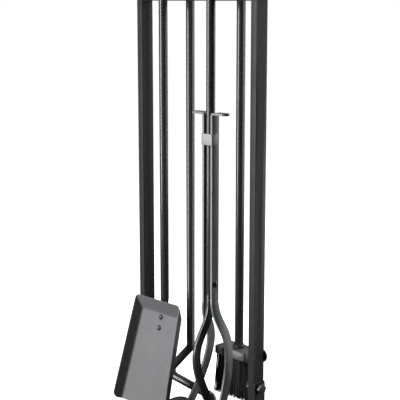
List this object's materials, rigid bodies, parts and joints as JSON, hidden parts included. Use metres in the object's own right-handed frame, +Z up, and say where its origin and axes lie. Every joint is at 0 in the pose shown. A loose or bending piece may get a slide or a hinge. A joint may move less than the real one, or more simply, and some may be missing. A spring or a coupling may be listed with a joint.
{
  "type": "fireplace tool set",
  "caption": "Free-standing steel tube frame with wire hooks, holding a shovel, a zigzag poker, scissor log tongs and a brush, each with a loop handle.",
  "frame": {"origin": "on the floor, under the middle of the stand", "axes": "+X along the frame from the left post to the right post, -Y to the front where the shovel and tongs hang, +Z up"},
  "size_m": [0.256, 0.164, 0.7423],
  "materials": {
    "frame_coat": "satin black powder coat",
    "rod_coat": "satin black powder coat",
    "pan_coat": "satin black powder coat on sheet steel",
    "block_coat": "satin black coat",
    "black_bolt": "black oxide, slightly glossy",
    "cap_plastic": "matt black",
    "pad_rubber": "matt black",
    "bristle": "black stiff bristles"
  },
  "bodies": {
    "stand": {"left_post": "frame_coat", "right_post": "frame_coat", "top_bar": "frame_coat", "middle_bar": "frame_coat", "lower_bar": "frame_coat", "left_foot": "frame_coat", "right_foot": "frame_coat", "left_tongue": "frame_coat", "right_tongue": "frame_coat", "left_foot_bolt": "black_bolt", "right_foot_bolt": "black_bolt", "left_foot_nut": "black_bolt", "right_foot_nut": "black_bolt", "left_connector_bolt": "black_bolt", "right_connector_bolt": "black_bolt", "left_end_cap": "cap_plastic", "right_end_cap": "cap_plastic", "front_left_pad": "pad_rubber", "front_right_pad": "pad_rubber", "back_left_pad": "pad_rubber", "back_right_pad": "pad_rubber", "shovel_hook": "frame_coat", "tongs_hook": "frame_coat", "poker_hook": "frame_coat", "brush_hook": "frame_coat"},
    "shovel": {"shovel_rod": "rod_coat", "shovel_handle": "rod_coat", "shovel_pan": "pan_coat", "shovel_rivets": "black_bolt"},
    "poker": {"poker_rod": "rod_coat", "poker_handle": "rod_coat"},
    "tongs": {"tongs_rod": "rod_coat", "tongs_handle": "rod_coat"},
    "tongs_lever": {"tongs_left_arm": "rod_coat", "tongs_right_arm": "rod_coat", "tongs_clip": "rod_coat", "tongs_pivot": "black_bolt"},
    "brush": {"brush_rod": "rod_coat", "brush_handle": "rod_coat", "brush_collar": "rod_coat", "brush_block": "block_coat", "bristles": "bristle"}
  },
  "joints": [
    {"name": "shovel_lift", "type": "slide", "parent": "stand", "child": "shovel", "axis": [0, -0.788, 0.6157], "range_m": [0, 0.09]},
    {"name": "poker_lift", "type": "slide", "parent": "stand", "child": "poker", "axis": [0, 0.788, 0.6157], "range_m": [0, 0.09]},
    {"name": "tongs_lift", "type": "slide", "parent": "stand", "child": "tongs", "axis": [0, -0.788, 0.6157], "range_m": [0, 0.09]},
    {"name": "brush_lift", "type": "slide", "parent": "stand", "child": "brush", "axis": [0, 0.788, 0.6157], "range_m": [0, 0.09]},
    {"name": "tongs_grip", "type": "hinge", "parent": "tongs", "child": "tongs_lever", "pos_m": [0.0465, -0.023, 0.247], "axis": [1, 0, 0], "range_deg": [0, 8]}
  ]
}
